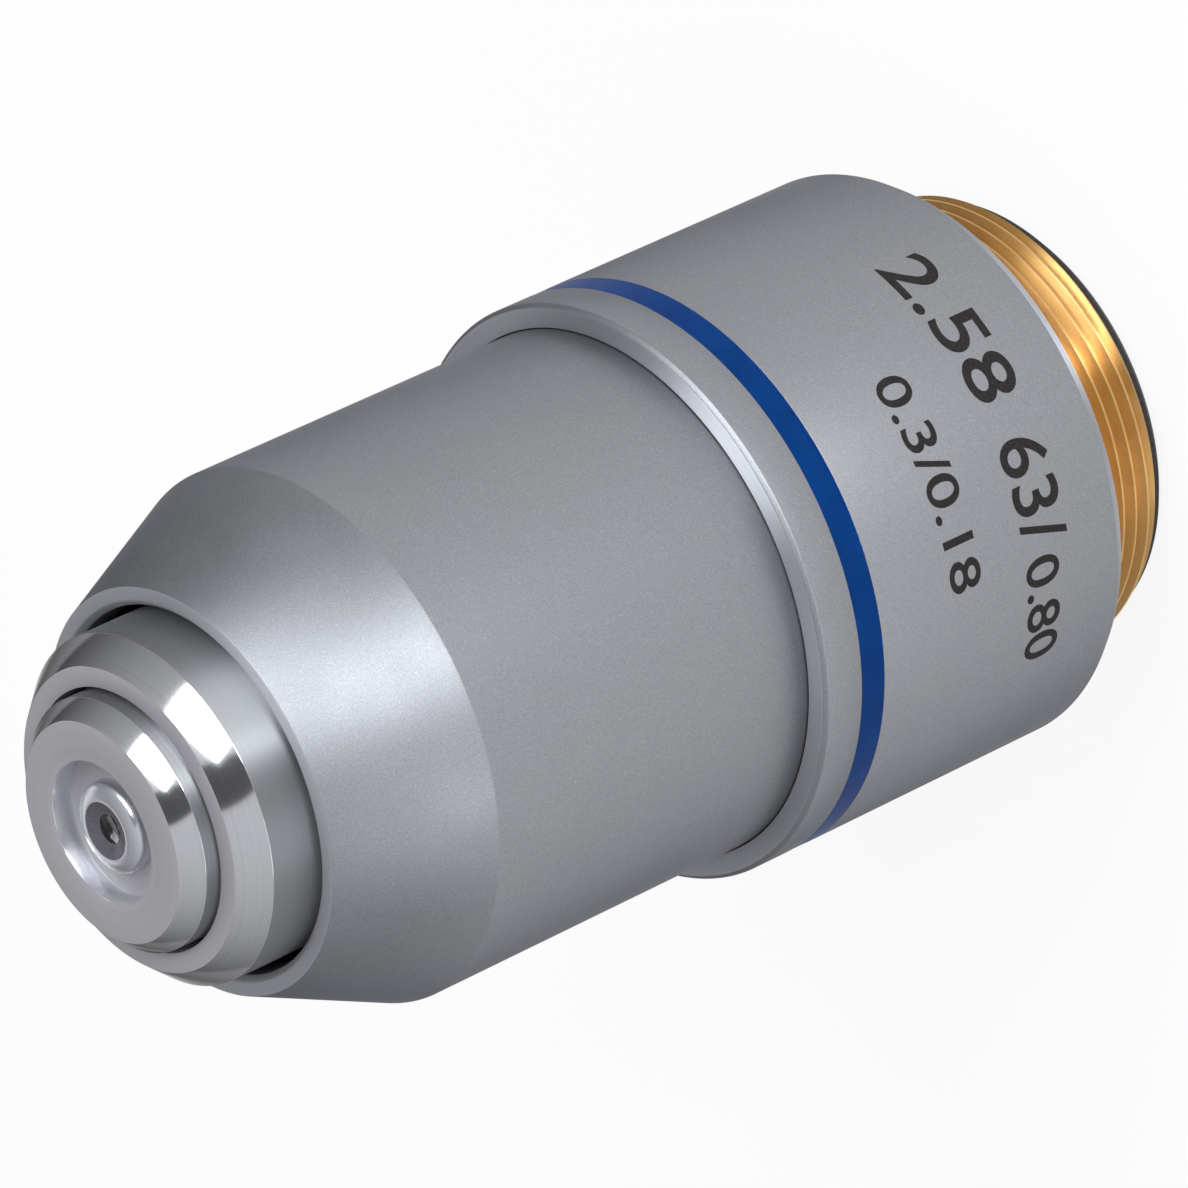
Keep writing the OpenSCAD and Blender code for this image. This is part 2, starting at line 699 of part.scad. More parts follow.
module triplet_middle() {
    color(flint_glass)
    lens(triplet_joint_z, triplet_joint_2_z, triplet_d, -triplet_joint_r, -triplet_joint_r);
}

module triplet_rear() {
    color(crown_glass)
    lens(triplet_joint_2_z, triplet_rear_z, triplet_d, triplet_joint_r, triplet_rear_r);
}

module triplet_retainer() {
    color(black_paint)
    retainer(triplet_retainer_z, triplet_d);
}

module aperture_stop() {
    color(black_paint)
    ring(stack_r, aperture_stop_d / 2, aperture_stop_z, triplet_cell_low_z);
}

module spacer_tube() {
    color(black_paint)
    ring(stack_r, stack_r - spacer_wall, rear_cell_top_z, aperture_stop_z);
}

module rear_cell() {
    color(bare_brass)
    lens_cell(rear_cell_top_z, rear_cell_low_z, rear_seat_z, rear_lens_d, rear_edge_z);
}

module rear_crown() {
    color(crown_glass)
    lens(rear_z, rear_joint_z, rear_lens_d, rear_front_r, rear_joint_r);
}

module rear_flint() {
    color(flint_glass)
    lens(rear_joint_z, rear_end_z, rear_lens_d, -rear_joint_r, -rear_hollow_r);
}

module rear_retainer() {
    color(black_paint)
    retainer(rear_edge_z, rear_lens_d);
}

module barrel_lock_ring() {
    color(black_paint)
    difference() {
        ring(stack_r, stack_r - spacer_wall, lock_ring_low_z, rear_cell_low_z);
        spanner_slots(stack_r, lock_ring_low_z);
    }
}

mount_body();
rear_sleeve();
colour_band();
front_sleeve();
guide_bush();
parfocal_ring();
guide_screws();
spring_washer();
coil_spring();
end_ring();
lens_barrel();
front_cell();
front_lens();
meniscus_cell();
meniscus_lens();
doublet_cell();
doublet_crown();
doublet_flint();
spacer_ring();
triplet_cell();
triplet_front();
triplet_middle();
triplet_rear();
triplet_retainer();
aperture_stop();
spacer_tube();
rear_cell();
rear_crown();
rear_flint();
rear_retainer();
barrel_lock_ring();
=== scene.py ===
# %% [markdown]
# A microscope objective, standing on its mounting end with the nose up.
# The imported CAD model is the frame: it gives every size and says what slides.
# This script gives that frame the finish of the real thing. Turned parts are spun again from
# their outlines with fine steps, because light on satin metal shows every facet.

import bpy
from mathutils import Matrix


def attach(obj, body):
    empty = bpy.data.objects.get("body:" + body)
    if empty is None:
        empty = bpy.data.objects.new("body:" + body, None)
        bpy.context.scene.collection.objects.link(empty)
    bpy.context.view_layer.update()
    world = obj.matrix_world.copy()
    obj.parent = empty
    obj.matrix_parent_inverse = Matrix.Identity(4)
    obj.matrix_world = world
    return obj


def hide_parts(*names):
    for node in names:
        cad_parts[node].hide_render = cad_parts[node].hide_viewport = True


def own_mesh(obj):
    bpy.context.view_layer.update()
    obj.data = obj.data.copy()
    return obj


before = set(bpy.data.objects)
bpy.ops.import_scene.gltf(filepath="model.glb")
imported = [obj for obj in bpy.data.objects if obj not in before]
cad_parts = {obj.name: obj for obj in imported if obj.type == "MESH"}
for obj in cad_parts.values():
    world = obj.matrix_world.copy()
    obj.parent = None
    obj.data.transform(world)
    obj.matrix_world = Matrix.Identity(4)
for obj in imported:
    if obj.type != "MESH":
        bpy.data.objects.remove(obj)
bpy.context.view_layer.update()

# %% The other modules, and millimetres
import math

import bmesh
import bpy
from mathutils import Matrix, Vector

MM = 0.001

# %% [markdown]
# The camera comes first, because it decides how fine each piece has to be.
# The photograph's circles were fitted with one pinhole camera. The fit gave the angle between
# the nose axis and the line to the camera, how far the picture is rolled, and where the centre
# of the front face lies. Axes in the camera run right, down and forward, as pixels do.

# %% Where the camera stands
NOSE_TO_CAMERA = math.radians(54.83)
ROLL = math.radians(24.88)
PHOTO_SIDE = 1188
FOCAL_PIXELS = 10662
FRONT_PIXEL = (101.7, 832.8)
FRONT_DEPTH = 421.4 * MM
FRONT_HEIGHT = 49.7 * MM
SENSOR = 36

rearward = Vector((math.sin(NOSE_TO_CAMERA) * math.cos(ROLL),
                   -math.sin(NOSE_TO_CAMERA) * math.sin(ROLL),
                   math.cos(NOSE_TO_CAMERA)))
z_axis = -rearward
to_camera = Vector((0, 0, -1))
y_axis = -(to_camera - z_axis * to_camera.dot(z_axis)).normalized()
x_axis = y_axis.cross(z_axis)
front_x, front_y = ((p - PHOTO_SIDE / 2) / FOCAL_PIXELS * FRONT_DEPTH for p in FRONT_PIXEL)
origin = Vector((front_x, front_y, FRONT_DEPTH)) + rearward * FRONT_HEIGHT

# %% Make the camera
def in_frame(direction):
    """A direction seen by the camera, in the object's own axes."""
    return Vector((direction.dot(x_axis), direction.dot(y_axis), direction.dot(z_axis)))


camera = bpy.data.objects.new("camera", bpy.data.cameras.new("camera"))
camera.data.sensor_width = SENSOR
camera.data.lens = FOCAL_PIXELS * SENSOR / PHOTO_SIDE
camera.data.clip_start = 0.01
camera.data.clip_end = 20
turn = Matrix((in_frame(Vector((1, 0, 0))), in_frame(Vector((0, -1, 0))), in_frame(to_camera)))
camera.matrix_world = Matrix.Translation(in_frame(-origin)) @ turn.transposed().to_4x4()
bpy.context.scene.collection.objects.link(camera)
bpy.context.scene.camera = camera
print("lens %.0f mm, camera at %s" % (camera.data.lens, tuple(round(c, 3) for c in camera.location)))

# %% [markdown]
# Metal shows the room around it, so the room is part of its finish. The bevels in the
# photograph mirror a room that is light above and on the camera's side and dark behind, with a
# dark patch high in front, over the camera. A picture of a room could be wrapped round the scene,
# but a slope of grey and one dark patch, worked out from the direction, show all that is needed.

# %% The room
ROOM_GREY = 0.38
ROOM_TINT = (0.97, 0.98, 1.02)
LIGHTER_TOWARDS = (-0.09, -0.26, 0.24)
DARK_CENTRE = (-0.05, -0.60, 0.80)
DARK_NARROWING = (1.0, 0.4, 0.4)
DARK_SIZE, DARK_EDGE = 0.19, 0.03
DARK_LEVEL = 0.15


def build_world():
    """A grey room. The world's Generated coordinate is the direction that is looked in."""
    world = bpy.data.worlds.new("grey_room")
    world.use_nodes = True
    nodes, links = world.node_tree.nodes, world.node_tree.links
    where = nodes.new("ShaderNodeTexCoord")
    slope, offset, away = (nodes.new("ShaderNodeVectorMath") for _ in range(3))
    slope.operation = "DOT_PRODUCT"
    slope.inputs[1].default_value = LIGHTER_TOWARDS
    offset.operation = "MULTIPLY_ADD"
    offset.inputs[1].default_value = DARK_NARROWING
    offset.inputs[2].default_value = [-c * n for c, n in zip(DARK_CENTRE, DARK_NARROWING)]
    away.operation = "LENGTH"
    links.new(where.outputs["Generated"], slope.inputs[0])
    links.new(where.outputs["Generated"], offset.inputs[0])
    links.new(offset.outputs["Vector"], away.inputs[0])
    level, product = nodes.new("ShaderNodeMath"), nodes.new("ShaderNodeMath")
    level.operation, product.operation = "ADD", "MULTIPLY"
    level.inputs[1].default_value = ROOM_GREY
    patch = nodes.new("ShaderNodeMapRange")
    patch.interpolation_type = "SMOOTHSTEP"
    patch.inputs["From Min"].default_value = DARK_SIZE
    patch.inputs["From Max"].default_value = DARK_SIZE + DARK_EDGE
    patch.inputs["To Min"].default_value = DARK_LEVEL
    links.new(slope.outputs["Value"], level.inputs[0])
    links.new(away.outputs["Value"], patch.inputs["Value"])
    links.new(level.outputs[0], product.inputs[0])
    links.new(patch.outputs["Result"], product.inputs[1])
    links.new(product.outputs[0], nodes["Background"].inputs["Strength"])
    nodes["Background"].inputs["Color"].default_value = (*ROOM_TINT, 1)
    return world


bpy.context.scene.world = build_world()
bpy.context.scene.view_settings.view_transform = "Standard"
print("room:", ROOM_GREY, "at eye level, times", DARK_LEVEL, "in the dark patch")

# %% [markdown]
# Four soft lamps stand round the objective. The key lamp, high on the right, makes the white
# patches on the bevels. A narrow one in front draws the streak down the cone. A low one on the
# left and a faint one behind lift the dark sides. A lamp's brightness is what the eye would see,
# where 1 is white paper, and its power in watts follows from that and from its size.

# %% Soft lamps
LAMP_TINT = (0.96, 0.99, 1.02)
LAMPS_AIM = Vector((0, 0, 30)) * MM


def softbox(name, azimuth, elevation, distance, width, height, brightness):
    """A soft lamp aimed at the objective. Azimuth 0 is the camera's side and 90 is +X."""
    lamp = bpy.data.lights.new(name, "AREA")
    lamp.shape = "RECTANGLE"
    lamp.size, lamp.size_y = width, height
    lamp.energy = brightness * math.pi * width * height
    lamp.color = LAMP_TINT
    box = bpy.data.objects.new(name, lamp)
    a, e = math.radians(azimuth), math.radians(elevation)
    away = Vector((math.sin(a) * math.cos(e), -math.cos(a) * math.cos(e), math.sin(e)))
    box.rotation_euler = away.to_track_quat("Z", "Y").to_euler()
    box.location = LAMPS_AIM + away * distance
    box.visible_camera = False
    bpy.context.scene.collection.objects.link(box)
    print("%s: %.2f W" % (name, lamp.energy))


softbox("key", azimuth=41, elevation=44, distance=0.8, width=0.52, height=0.34, brightness=7.5)
softbox("front_lamp", azimuth=9, elevation=12, distance=0.8, width=0.14, height=0.3, brightness=20)
softbox("left_lamp", azimuth=-48, elevation=8, distance=0.8, width=0.5, height=0.2, brightness=2.5)
softbox("back_lamp", azimuth=165, elevation=24, distance=0.9, width=0.8, height=0.25, brightness=0.8)

# %% [markdown]
# The floor is a large square of matt white with a painted pool of light: white round the
# object, painted grey further off.
# It is not part of the object. Most of its shade is a plain glow that the camera, mirrors
# and glass see but that lights nothing, so that the background turns white while the objective's
# own soft shadow stays in it.

# %% The floor's square
FLOOR_REACH = 4

floor_mesh = bmesh.new()
bmesh.ops.create_grid(floor_mesh, x_segments=1, y_segments=1, size=FLOOR_REACH)
floor_data = bpy.data.meshes.new("floor")
floor_mesh.to_mesh(floor_data)
floor_mesh.free()
floor = bpy.data.objects.new("floor", floor_data)
bpy.context.scene.collection.objects.link(floor)
print("floor:", 2 * FLOOR_REACH, "m wide")

# %% The floor's white
# The floor's tone is a painted pool of light: white within a radius of a centre set off towards the
# camera and the left, and painted grey beyond it.
FLOOR_WHITE, PAINTED_SHADE_GREY = 0.9, 0.4
LIGHT_POOL_CENTRE = (-0.06, -0.1, 0)
POOL_WHITE_WITHIN, POOL_GREY_BEYOND = 0.22, 0.29
GLOW_SHARE = 0.88


def paint_light_pool(material):
    """A painted pool of light: white round the object, and painted grey further off. Returns the colour
    for other nodes to use.
    """
    nodes, links = material.node_tree.nodes, material.node_tree.links
    place, away = nodes.new("ShaderNodeTexCoord"), nodes.new("ShaderNodeVectorMath")
    away.operation = "DISTANCE"
    away.inputs[1].default_value = LIGHT_POOL_CENTRE
    fade, mix = nodes.new("ShaderNodeMapRange"), nodes.new("ShaderNodeMix")
    fade.interpolation_type = "SMOOTHSTEP"
    fade.inputs["From Min"].default_value = POOL_WHITE_WITHIN
    fade.inputs["From Max"].default_value = POOL_GREY_BEYOND
    mix.data_type = "RGBA"
    mix.inputs[6].default_value = (FLOOR_WHITE, FLOOR_WHITE, FLOOR_WHITE, 1)
    mix.inputs[7].default_value = (PAINTED_SHADE_GREY, PAINTED_SHADE_GREY, PAINTED_SHADE_GREY, 1)
    links.new(place.outputs["Object"], away.inputs[0])
    links.new(away.outputs["Value"], fade.inputs["Value"])
    links.new(fade.outputs["Result"], mix.inputs[0])
    links.new(mix.outputs[2], nodes["Principled BSDF"].inputs["Base Color"])
    return mix.outputs[2]


def add_glow(material, colour, share):
    """Mixes a glow into a material, for the rays of the camera, of mirrors and of glass."""
    nodes, links = material.node_tree.nodes, material.node_tree.links
    path, glow = nodes.new("ShaderNodeLightPath"), nodes.new("ShaderNodeEmission")
    mix = nodes.new("ShaderNodeMixShader")
    either, any_ray, scale = (nodes.new("ShaderNodeMath") for _ in range(3))
    either.operation = any_ray.operation = "MAXIMUM"
    scale.operation = "MULTIPLY"
    scale.inputs[1].default_value = share
    glow.inputs["Strength"].default_value = 1 / FLOOR_WHITE
    links.new(colour, glow.inputs["Color"])
    links.new(path.outputs["Is Camera Ray"], either.inputs[0])
    links.new(path.outputs["Is Glossy Ray"], either.inputs[1])
    links.new(either.outputs[0], any_ray.inputs[0])
    links.new(path.outputs["Is Transmission Ray"], any_ray.inputs[1])
    links.new(any_ray.outputs[0], scale.inputs[0])
    links.new(scale.outputs[0], mix.inputs[0])
    links.new(nodes["Principled BSDF"].outputs[0], mix.inputs[1])
    links.new(glow.outputs[0], mix.inputs[2])
    links.new(mix.outputs[0], nodes["Material Output"].inputs["Surface"])


floor_paint = bpy.data.materials.new("matt_white")
floor_paint.use_nodes = True
paint = floor_paint.node_tree.nodes["Principled BSDF"]
paint.inputs["Roughness"].default_value = 0.9
paint.inputs["Specular IOR Level"].default_value = 0
add_glow(floor_paint, paint_light_pool(floor_paint), GLOW_SHARE)
floor_data.materials.append(floor_paint)
print("floor: white within", POOL_WHITE_WITHIN, "m, grey beyond", POOL_GREY_BEYOND, "m")

# %% [markdown]
# Finishes come next. All of them read Object coordinates, in metres, so a grain of a tenth of
# a millimetre needs a noise scale of about ten thousand. Numbers that are the same all over
# are set on the shader itself, and only what varies is wired in.

# %% Helpers for materials
METAL, NOT_METAL = 1.0, 0.0


def new_finish(name, metallic, roughness=0.5):
    """A material, with its shader ready to be wired. A wired roughness needn't be given."""
    material = bpy.data.materials.new(name)
    material.use_nodes = True
    shader = material.node_tree.nodes["Principled BSDF"]
    shader.inputs["Metallic"].default_value = metallic
    shader.inputs["Roughness"].default_value = roughness
    return material, shader


def add(material, kind, **values):
    """A node of one kind, with some of its inputs set."""
    made = material.node_tree.nodes.new("ShaderNode" + kind)
    for name, value in values.items():
        made.inputs[name].default_value = value
    return made


def wire(material, output, socket):
    """Joins a node's output to another node's input."""
    material.node_tree.links.new(output, socket)


def spots(material, size_mm, detail=2.0):
    """Noise whose lumps are about this size. Returns the output from 0 to 1."""
    place = add(material, "TexCoord")
    noise = add(material, "TexNoise", Scale=1 / (size_mm * MM), Detail=detail, Roughness=0.6)
    wire(material, place.outputs["Object"], noise.inputs["Vector"])
    return noise.outputs["Fac"]


def spread(material, value, low, high, least=0.3, most=0.7):
    """Stretches noise that runs from least to most over a range of numbers."""
    stretch = add(material, "MapRange")
    wire(material, value, stretch.inputs["Value"])
    for name, number in (("From Min", least), ("From Max", most), ("To Min", low), ("To Max", high)):
        stretch.inputs[name].default_value = number
    return stretch.outputs["Result"]


def shade(material, shader, value, darker, lighter):
    """Lets the colour run between two tones as a value goes from 0 to 1. Returns the mix node."""
    mix = add(material, "Mix")
    mix.data_type = "RGBA"
    factor, first, second, result = mix.inputs[0], mix.inputs[6], mix.inputs[7], mix.outputs[2]
    first.default_value = (*darker, 1)
    second.default_value = (*lighter, 1)
    wire(material, value, factor)
    wire(material, result, shader.inputs["Base Color"])
    return mix


def bump(material, shader, value, depth_mm, strength):
    """Turns a value into small hills on the surface."""
    hills = add(material, "Bump", Strength=strength, Distance=depth_mm * MM)
    wire(material, value, hills.inputs["Height"])
    wire(material, hills.outputs["Normal"], shader.inputs["Normal"])

# %% [markdown]
# The sleeves are bead blasted and then plated, which leaves a fine grain that sparkles.
# A bump map of small noise gives the grain, and the roughness wanders a little, because
# no blasting is even. The highest few dents of another noise are painted glints: a lighter colour
# there stands in for the sparkle of light off the grain. Modelling the grain would need millions of
# faces and look the same.

# %% Satin chrome of the sleeves
GRAIN_MM, PAINTED_GLINT_MM, CLOUD_MM = 0.065, 0.05, 4.0
SATIN_DARKER, SATIN_LIGHTER = (0.285, 0.29, 0.308), (0.37, 0.377, 0.398)
PAINTED_GLINT_TONE = (0.60, 0.61, 0.64)
SATIN_EDGE = (0.25, 0.25, 0.28)


def satin_chrome():
    """Blasted plate. Its edge tint keeps it from turning white where it is seen at a low angle."""
    material, shader = new_finish("satin_chrome", METAL)
    shader.inputs["Specular Tint"].default_value = (*SATIN_EDGE, 1)
    grain = spots(material, GRAIN_MM)
    tone = spread(material, grain, 0, 1, least=0.35, most=0.75)
    metal = shade(material, shader, tone, SATIN_DARKER, SATIN_LIGHTER)
    # Painted glints: the highest dents of a second noise take a lighter colour, which stands in for the
    # sparkle of light off the grain.
    painted_glints = spread(material, spots(material, PAINTED_GLINT_MM), 0, 1, least=0.675, most=0.735)
    painted_glint_mix = shade(material, shader, painted_glints, SATIN_LIGHTER, PAINTED_GLINT_TONE)
    # The blasted tone takes the place of the first of the two tones
    wire(material, metal.outputs[2], painted_glint_mix.inputs[6])
    clouds = spots(material, CLOUD_MM)
    wire(material, spread(material, clouds, 0.45, 0.51), shader.inputs["Roughness"])
    bump(material, shader, grain, depth_mm=0.005, strength=0.7)
    return material


satin = satin_chrome()
print("finish:", satin.name)

# %% [markdown]
# A face that was cut on a lathe keeps rings from the tool. They spread a highlight outwards
# from the centre, but hardly round it. Noise that reads only the distance from the axis makes
# the rings, and an anisotropic shader, turned to the circle, makes the spreading.

# %% Marks of the lathe
def ring_marks(material, pitch_mm):
    """Noise that changes only with the distance from the axis and with height."""
    place = add(material, "TexCoord")
    split = add(material, "SeparateXYZ")
    flat = add(material, "CombineXYZ")
    away = add(material, "VectorMath")
    away.operation = "LENGTH"
    line = add(material, "CombineXYZ")
    noise = add(material, "TexNoise", Scale=1 / (pitch_mm * MM), Detail=3.0, Roughness=0.7)
    wire(material, place.outputs["Object"], split.inputs[0])
    wire(material, split.outputs["X"], flat.inputs["X"])
    wire(material, split.outputs["Y"], flat.inputs["Y"])
    wire(material, flat.outputs[0], away.inputs[0])
    wire(material, away.outputs["Value"], line.inputs["X"])
    wire(material, split.outputs["Z"], line.inputs["Z"])
    wire(material, line.outputs[0], noise.inputs["Vector"])
    return noise.outputs["Fac"]


def ringed_metal(name, roughness, stretch, ring_mm, ring_depth_mm, edge=1.0):
    """Metal with tool rings, not yet coloured. Returns it with its shader and its rings.

    Stretch is how far a highlight is drawn across the rings, and edge is how much light the
    metal still mirrors where it is seen at a low angle.
    """
    material, shader = new_finish(name, METAL, roughness)
    shader.inputs["Anisotropic"].default_value = stretch
    shader.inputs["Anisotropic Rotation"].default_value = 0.25
    shader.inputs["Specular Tint"].default_value = (edge, edge, edge, 1)
    around = add(material, "Tangent")
    around.direction_type = "RADIAL"
    around.axis = "Z"
    wire(material, around.outputs["Tangent"], shader.inputs["Tangent"])
    rings = ring_marks(material, ring_mm)
    bump(material, shader, rings, ring_depth_mm, strength=0.5)
    return material, shader, rings

# %% [markdown]
# One plating looks different on each surface, as the tool, the feed and the polishing change.
# The shoulders are turned plainly, the land round the nose hole is duller, and the sliding
# barrel has fine, close rings. The cell's face is matt, its cup and seat are rubbed smooth, and
# the bevels are polished like mirrors.

# %% Turned chrome of the faces, barrel and bevels
def turned_metal(name, darker, lighter, roughness, stretch, ring_mm=0.06, ring_depth_mm=0.001, edge=1.0):
    """Metal whose tone runs with its tool rings, from a darker to a lighter one."""
    material, shader, rings = ringed_metal(name, roughness, stretch, ring_mm, ring_depth_mm, edge)
    shade(material, shader, spread(material, rings, 0, 1), darker, lighter)
    print("finish:", name)
    return material


turned_chrome = turned_metal("turned_chrome", (0.56, 0.57, 0.60), (0.66, 0.67, 0.70),
                             roughness=0.55, stretch=0.9)
land_chrome = turned_metal("land_chrome", (0.50, 0.505, 0.53), (0.60, 0.605, 0.63),
                           roughness=0.6, stretch=0.6)
barrel_chrome = turned_metal("barrel_chrome", (0.36, 0.367, 0.385), (0.46, 0.468, 0.49),
                             roughness=0.58, stretch=0.95, edge=0.3)
face_chrome = turned_metal("face_chrome", (0.50, 0.49, 0.51), (0.57, 0.56, 0.58),
                           roughness=0.7, stretch=0.0, ring_mm=0.08, ring_depth_mm=0.002)
soft_chrome = turned_metal("soft_chrome", (0.66, 0.665, 0.69), (0.74, 0.745, 0.77),
                           roughness=0.25, stretch=0.0, ring_mm=0.08)
bright_chrome = turned_metal("bright_chrome", (0.60, 0.605, 0.62), (0.66, 0.665, 0.68),
                             roughness=0.12, stretch=0.3, ring_mm=0.1, ring_depth_mm=0.0002,
                             edge=0.3)

# %% [markdown]
# The brass of the mounting end is bare and turned too, so it takes the same rings. Its tone
# doesn't follow them: it wanders over a few millimetres, as brass does where it is handled.

# %% Bare brass
def brass_finish():
    """Turned brass, a little browner in places."""
    material, shader = ringed_metal("bare_brass", roughness=0.34, stretch=0.85,
                                    ring_mm=0.05, ring_depth_mm=0.001)[:2]
    wear = spread(material, spots(material, 2.5, detail=4.0), 0, 1)
    shade(material, shader, wear, (0.58, 0.345, 0.12), (0.72, 0.45, 0.18))
    return material


brass = brass_finish()
print("finish:", brass.name)

# %% [markdown]
# The coil spring, its washer and the guide screws are plain steel. One noise stands for the
# fine scratches. It drives both the tone and the gloss, because a scratched place is duller
# and looks darker at once.

# %% Steel
def steel_finish():
    """Drawn and turned steel with fine scratches."""
    material, shader = new_finish("drawn_steel", METAL)
    scratches = spots(material, 0.15, detail=4.0)
    tone = spread(material, scratches, 0, 1)
    shade(material, shader, tone, (0.42, 0.43, 0.45), (0.58, 0.59, 0.6))
    wire(material, spread(material, scratches, 0.24, 0.38), shader.inputs["Roughness"])
    return material


steel = steel_finish()
print("finish:", steel.name)

# %% [markdown]
# Three dull coats are left: the black lacquer of the end ring and the bores, the paint of the
# numerals, and the grey cement round the front lens, whose grey is also painted on the lens's
# open face to stand in for the seat seen through the glass. All are gritty when seen close, so one
# function makes them. Gloss is how much they shine, and only the lacquer is thick enough to
# have hills.

# %% Dull coats
def dull_coat(name, darker, lighter, grit_mm, roughness, gloss, hills_mm=0):
    """Paint, lacquer or cement with a gritty tone."""
    material, shader = new_finish(name, NOT_METAL, roughness)
    shader.inputs["Specular IOR Level"].default_value = gloss
    grit = spots(material, grit_mm)
    shade(material, shader, spread(material, grit, 0, 1), darker, lighter)
    if hills_mm:
        bump(material, shader, grit, hills_mm, strength=0.4)
    print("finish:", name)
    return material


matt_black = dull_coat("matt_black", (0.012, 0.011, 0.011), (0.035, 0.032, 0.031),
                       grit_mm=0.12, roughness=0.6, gloss=0.25, hills_mm=0.004)
marking = dull_coat("marking_paint", (0.014, 0.012, 0.012), (0.034, 0.03, 0.03),
                    grit_mm=0.08, roughness=0.6, gloss=0.05)
cement_and_painted_ring = dull_coat("lens_cement", (0.065, 0.061, 0.071), (0.10, 0.094, 0.107),
                   grit_mm=0.1, roughness=0.3, gloss=0.5)

# %% [markdown]
# The colour band is enamel that was run into its groove and rubbed flush. Its tone drifts
# slowly, as a poured coat does, and its skin has low, soft waves.

# %% Blue enamel
def enamel_finish():
    """Smooth blue enamel with hardly any shine."""
    material, shader = new_finish("blue_enamel", NOT_METAL, roughness=0.45)
    shader.inputs["Specular IOR Level"].default_value = 0.05
    flow = spread(material, spots(material, 1.5, detail=3.0), 0, 1)
    shade(material, shader, flow, (0.0, 0.024, 0.12), (0.0, 0.032, 0.15))
    bump(material, shader, spots(material, 0.2), depth_mm=0.001, strength=0.3)
    return material


enamel = enamel_finish()
print("finish:", enamel.name)

# %% [markdown]
# Glass is a shader that lets light through and bends it. The crown lenses are clear and the
# flint lenses a shade greener. A faint haze in the roughness is the mark of the polishing.

# %% Lens glass
def glass(name, tint, bending):
    """Clear polished glass. Bending is its index of refraction."""
    material, shader = new_finish(name, NOT_METAL)
    shader.inputs["Base Color"].default_value = (*tint, 1)
    shader.inputs["Transmission Weight"].default_value = 1.0
    shader.inputs["IOR"].default_value = bending
    haze = spots(material, 0.5, detail=3.0)
    wire(material, spread(material, haze, 0.0, 0.015), shader.inputs["Roughness"])
    print("finish:", name)
    return material


crown = glass("crown_glass", (0.96, 0.98, 1.0), 1.52)
flint = glass("flint_glass", (0.93, 0.99, 0.96), 1.65)

# %% [markdown]
# Every turned part starts as an outline: one side of the part as cut in half, with radius to
# the right and height upwards. Spinning that outline once round the axis makes the part.
# It is what the lathe does, and a change to the outline changes the whole part at once.

# %% Spin an outline
SPIN_STEPS = 288
MERGE_MM = 0.0001


def spun(outline, steps=SPIN_STEPS):
    """Spins a closed outline of (radius, height) in millimetres once round Z."""
    mesh = bmesh.new()
    corners = [mesh.verts.new((radius * MM, 0, height * MM)) for radius, height in outline]
    sides = [mesh.edges.new(pair) for pair in zip(corners, corners[1:] + corners[:1])]
    bmesh.ops.spin(mesh, geom=corners + sides, axis=(0, 0, 1), cent=(0, 0, 0),
                   angle=math.tau, steps=steps, use_merge=True)
    bmesh.ops.remove_doubles(mesh, verts=mesh.verts, dist=MERGE_MM * MM)
    bmesh.ops.recalc_face_normals(mesh, faces=mesh.faces)
    return mesh

# %% [markdown]
# A corner from the lathe is never quite sharp: its broken edge catches a thin line of light.
# A narrow bevel with two segments draws that line. Then the mesh becomes a piece: it gets its
# materials and smooth shading up to a sharp angle, rides on a body of the frame, and hides the
# CAD node that it stands for.

# %% From a mesh to a finished piece
CORNER_ANGLE = math.radians(20)
SHARP_ANGLE = math.radians(24)


def soften(mesh, width):
    """Breaks the sharp turned corners by a width in millimetres."""
    rims = [edge for edge in mesh.edges
            if edge.is_manifold and edge.calc_face_angle(0) > CORNER_ANGLE]
    bmesh.ops.bevel(mesh, geom=rims, offset=width * MM, offset_type="OFFSET", segments=2,
                    profile=0.5, affect="EDGES", material=-1)


def paint_where(mesh, index, test):
    """Gives a material's number to the faces for which the test on radius, height and slope holds."""
    for face in mesh.faces:
        middle = face.calc_center_median()
        if test(math.hypot(middle.x, middle.y) / MM, middle.z / MM, face.normal.z):
            face.material_index = index


def finished(name, mesh, body, materials, node=None):
    """Turns the mesh into a piece that rides on a body, and hides the CAD node it stands for."""
    data = bpy.data.meshes.new(name)
    mesh.to_mesh(data)
    mesh.free()
    for material in materials:
        data.materials.append(material)
    data.shade_smooth()
    data.set_sharp_from_angle(angle=SHARP_ANGLE)
    piece = bpy.data.objects.new(name, data)
    bpy.context.scene.collection.objects.link(piece)
    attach(piece, body)
    if node:
        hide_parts(node)
    print("%s: %d faces" % (name, len(data.polygons)))
    return piece

# %% [markdown]
# The rear sleeve is the wide, lettered part. Its surface is turned one hundredth of a
# millimetre under the CAD's, which leaves room for the paint of the markings.

# %% Rear sleeve
SLEEVE_R = 12.59
REAR_SLEEVE_LOW, REAR_SLEEVE_TOP = 5.2, 22.25
BAND_LOW, BAND_TOP = 19.0, 20.25
BAND_DEPTH = 0.25
FLANGE_FIT_R, TUBE_FIT_R, SEAM_R = 11.47, 10.62, 11.535
LEDGE_LOW, LEDGE_TOP = 7.0, 8.5
TOP_BEVEL, MOUTH_BEVEL = 0.18, 0.03
LOW_BEVEL_IN, LOW_BEVEL_UP = 0.4, 0.6

